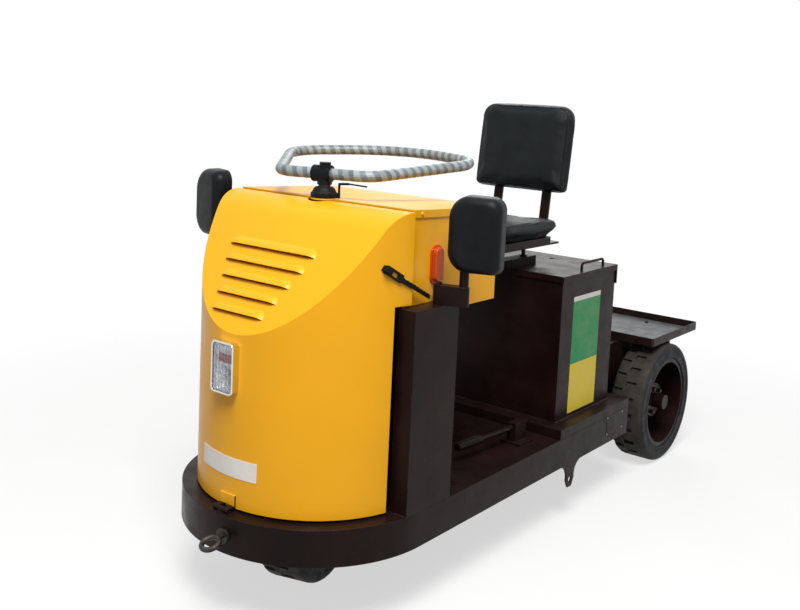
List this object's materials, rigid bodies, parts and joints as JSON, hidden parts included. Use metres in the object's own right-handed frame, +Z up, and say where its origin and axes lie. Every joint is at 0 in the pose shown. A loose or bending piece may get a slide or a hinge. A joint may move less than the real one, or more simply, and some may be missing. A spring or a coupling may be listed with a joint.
{
  "type": "airport baggage tug",
  "caption": "Three-wheeled electric tow tractor with a tilting nose hood, steering hoop, driver's seat on a lift-up battery box, rear tray and drawbar hitch.",
  "frame": {"origin": "on the ground, midway between the tip of the front tow eye and the end of the rear hitch", "axes": "+Z up, -Y the way the tug drives, +X its left side"},
  "size_m": [0.923, 2.1078, 1.2035],
  "materials": {
    "black_paint": "semi-gloss black enamel",
    "yellow_paint": "gloss golden yellow enamel",
    "grey_paint": "worn dark grey enamel",
    "cast_iron": "painted casting",
    "spring_steel": "oiled steel",
    "tyre_rubber": "matt solid tyre rubber",
    "black_rubber": "moulded rubber",
    "black_plastic": "grained black plastic",
    "mirror_glass": "silvered glass",
    "chrome": "polished chrome",
    "clear_lens": "clear ribbed lens",
    "amber_lens": "translucent amber plastic",
    "red_lens": "translucent red plastic",
    "banded_tube": "steel tube wound with grey and silver bands",
    "black_vinyl": "black vinyl cover",
    "battery_case": "dark battery case"
  },
  "bodies": {
    "chassis": {"chassis_pan": "black_paint", "rear_deck": "black_paint", "column_left": "black_paint", "column_right": "black_paint", "firewall": "black_paint", "console": "yellow_paint", "console_cover": "yellow_paint", "side_markers": "amber_lens", "steering_bridge": "black_paint", "steering_boot": "black_rubber", "direction_lever": "black_plastic", "mirror_arms": "black_paint", "mirror_heads": "black_plastic", "mirror_glasses": "mirror_glass", "seat_box": "black_paint", "battery": "battery_case", "park_brake_lever": "black_paint", "floor_pedals": "black_paint", "tow_eye": "spring_steel", "rear_frame": "black_paint", "drive_cover": "black_paint", "equipment_tray": "grey_paint", "rear_axle": "cast_iron", "drive_motor": "cast_iron", "leaf_springs": "spring_steel", "tail_lamps": "red_lens"},
    "steering": {"fork": "black_paint", "steering_shaft": "spring_steel", "hoop_clamp": "black_plastic", "steering_hoop": "banded_tube"},
    "front_wheel": {"front_rim": "black_paint", "front_tyre": "tyre_rubber"},
    "rear_wheel_left": {"rear_rim_left": "black_paint", "rear_tyre_left": "tyre_rubber"},
    "rear_wheel_right": {"rear_rim_right": "black_paint", "rear_tyre_right": "tyre_rubber"},
    "hood": {"hood": "yellow_paint", "headlamp": "chrome", "headlamp_lens": "clear_lens", "hood_latches": "black_rubber"},
    "seat_lid": {"seat_lid": "black_paint", "lid_handle": "black_paint", "seat_frame": "black_paint", "seat_pan": "black_paint", "seat_cushion": "black_vinyl", "backrest": "black_vinyl"}
  },
  "joints": [
    {"name": "steering_turn", "type": "hinge", "parent": "chassis", "child": "steering", "pos_m": [0, -0.6755, 0.201], "axis": [0, 0, 1], "range_deg": [-71.5, 38.5]},
    {"name": "front_wheel_spin", "type": "hinge", "parent": "steering", "child": "front_wheel", "pos_m": [0, -0.6755, 0.201], "axis": [0.9588, 0.284, 0], "continuous": true},
    {"name": "rear_wheel_left_spin", "type": "hinge", "parent": "chassis", "child": "rear_wheel_left", "pos_m": [0.274, 0.7245, 0.201], "axis": [1, 0, 0], "continuous": true},
    {"name": "rear_wheel_right_spin", "type": "hinge", "parent": "chassis", "child": "rear_wheel_right", "pos_m": [-0.274, 0.7245, 0.201], "axis": [1, 0, 0], "continuous": true},
    {"name": "hood_tilt", "type": "hinge", "parent": "chassis", "child": "hood", "pos_m": [0, -0.9765, 0.262], "axis": [1, 0, 0], "range_deg": [0, 60]},
    {"name": "lid_lift", "type": "hinge", "parent": "chassis", "child": "seat_lid", "pos_m": [-0.293, 0.1965, 0.711], "axis": [0, -1, 0], "range_deg": [0, 75]}
  ]
}
